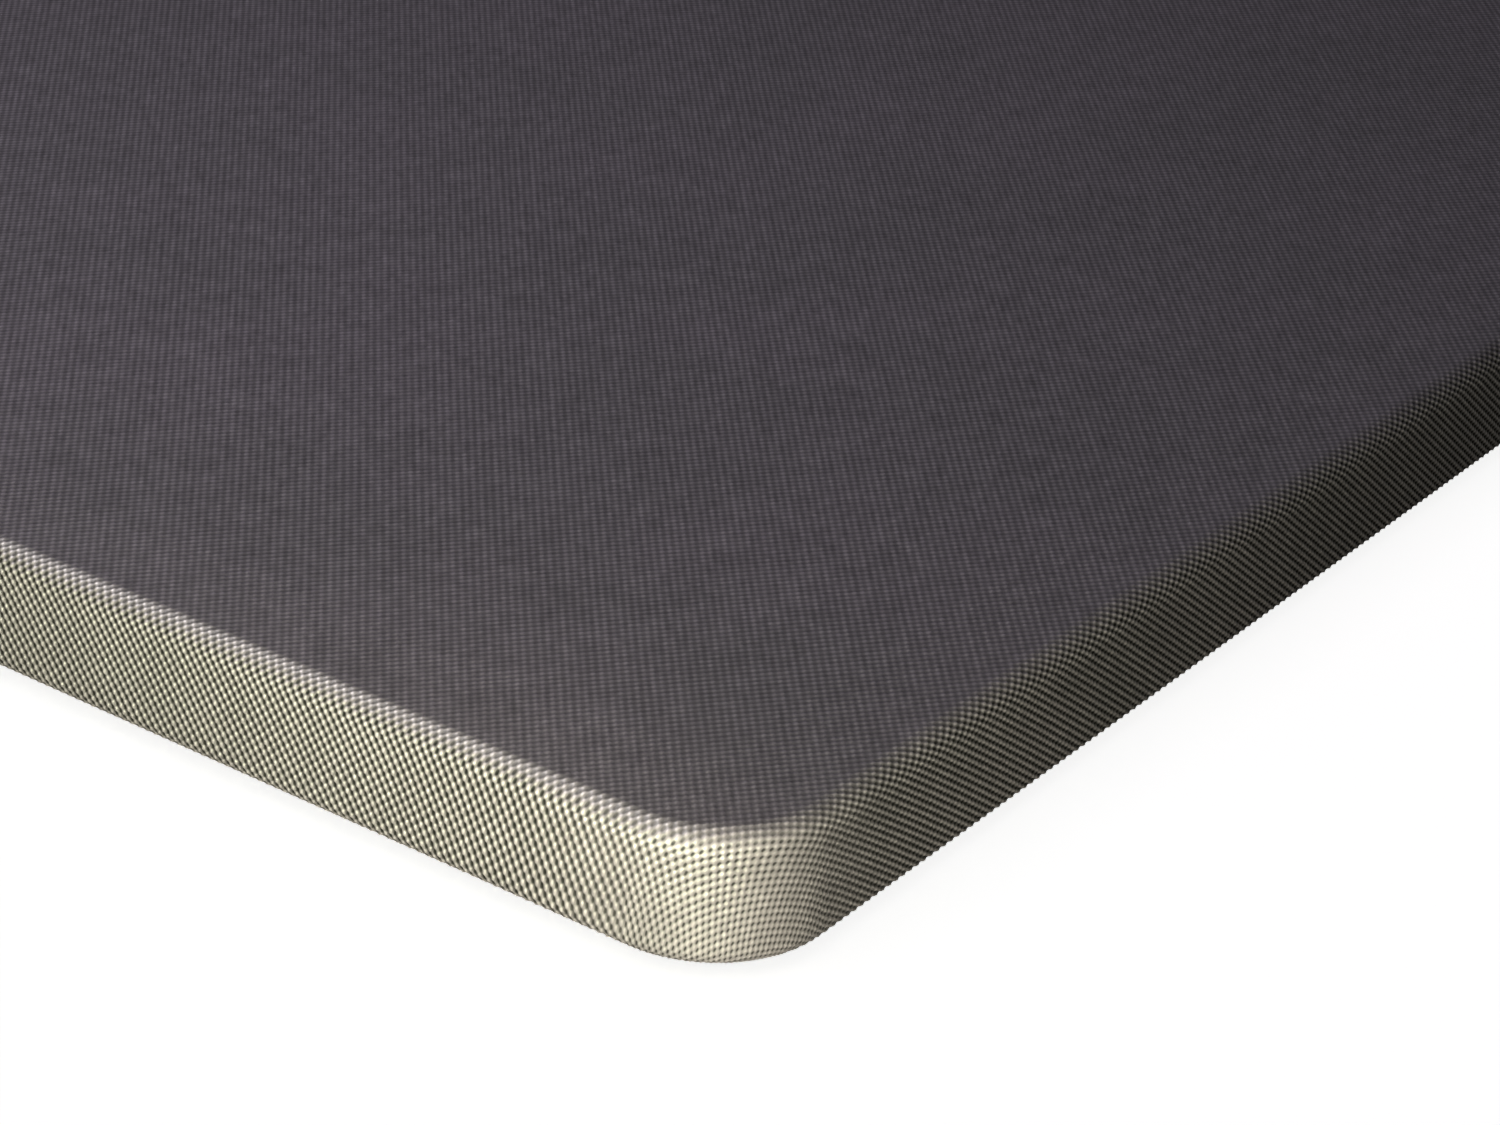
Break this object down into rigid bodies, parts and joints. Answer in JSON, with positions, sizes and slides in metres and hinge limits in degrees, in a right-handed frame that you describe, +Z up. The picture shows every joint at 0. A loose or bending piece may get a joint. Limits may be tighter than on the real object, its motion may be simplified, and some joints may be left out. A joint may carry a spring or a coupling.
{
  "type": "anti fatigue mat",
  "caption": "Flat rectangular cushioned standing mat with rounded corners: a woven-grain skin wrapped over its top and walls, a layered foam core and a non-slip base sheet.",
  "frame": {"origin": "centre of the underside, on the floor", "axes": "+X along the mat's length, +Y along its width, +Z up out of the standing surface"},
  "size_m": [0.914, 0.508, 0.019],
  "materials": {
    "skin": "charcoal vinyl leathercloth, embossed with a woven grain, satin to semi-gloss",
    "textile": "plain knitted polyester",
    "adhesive": "set polyurethane adhesive",
    "cushion_foam": "open-cell polyurethane foam, soft",
    "support_foam": "dense polyurethane foam",
    "base_rubber": "matt non-slip rubber"
  },
  "bodies": {
    "root": {"wear_skin": "skin", "skin_backing": "textile", "skin_bond_film": "adhesive", "cushion_foam": "cushion_foam", "core_bond_film": "adhesive", "support_foam": "support_foam", "flange_bond_tape": "adhesive", "base_bond_film": "adhesive", "base_sheet": "base_rubber"}
  },
  "joints": []
}
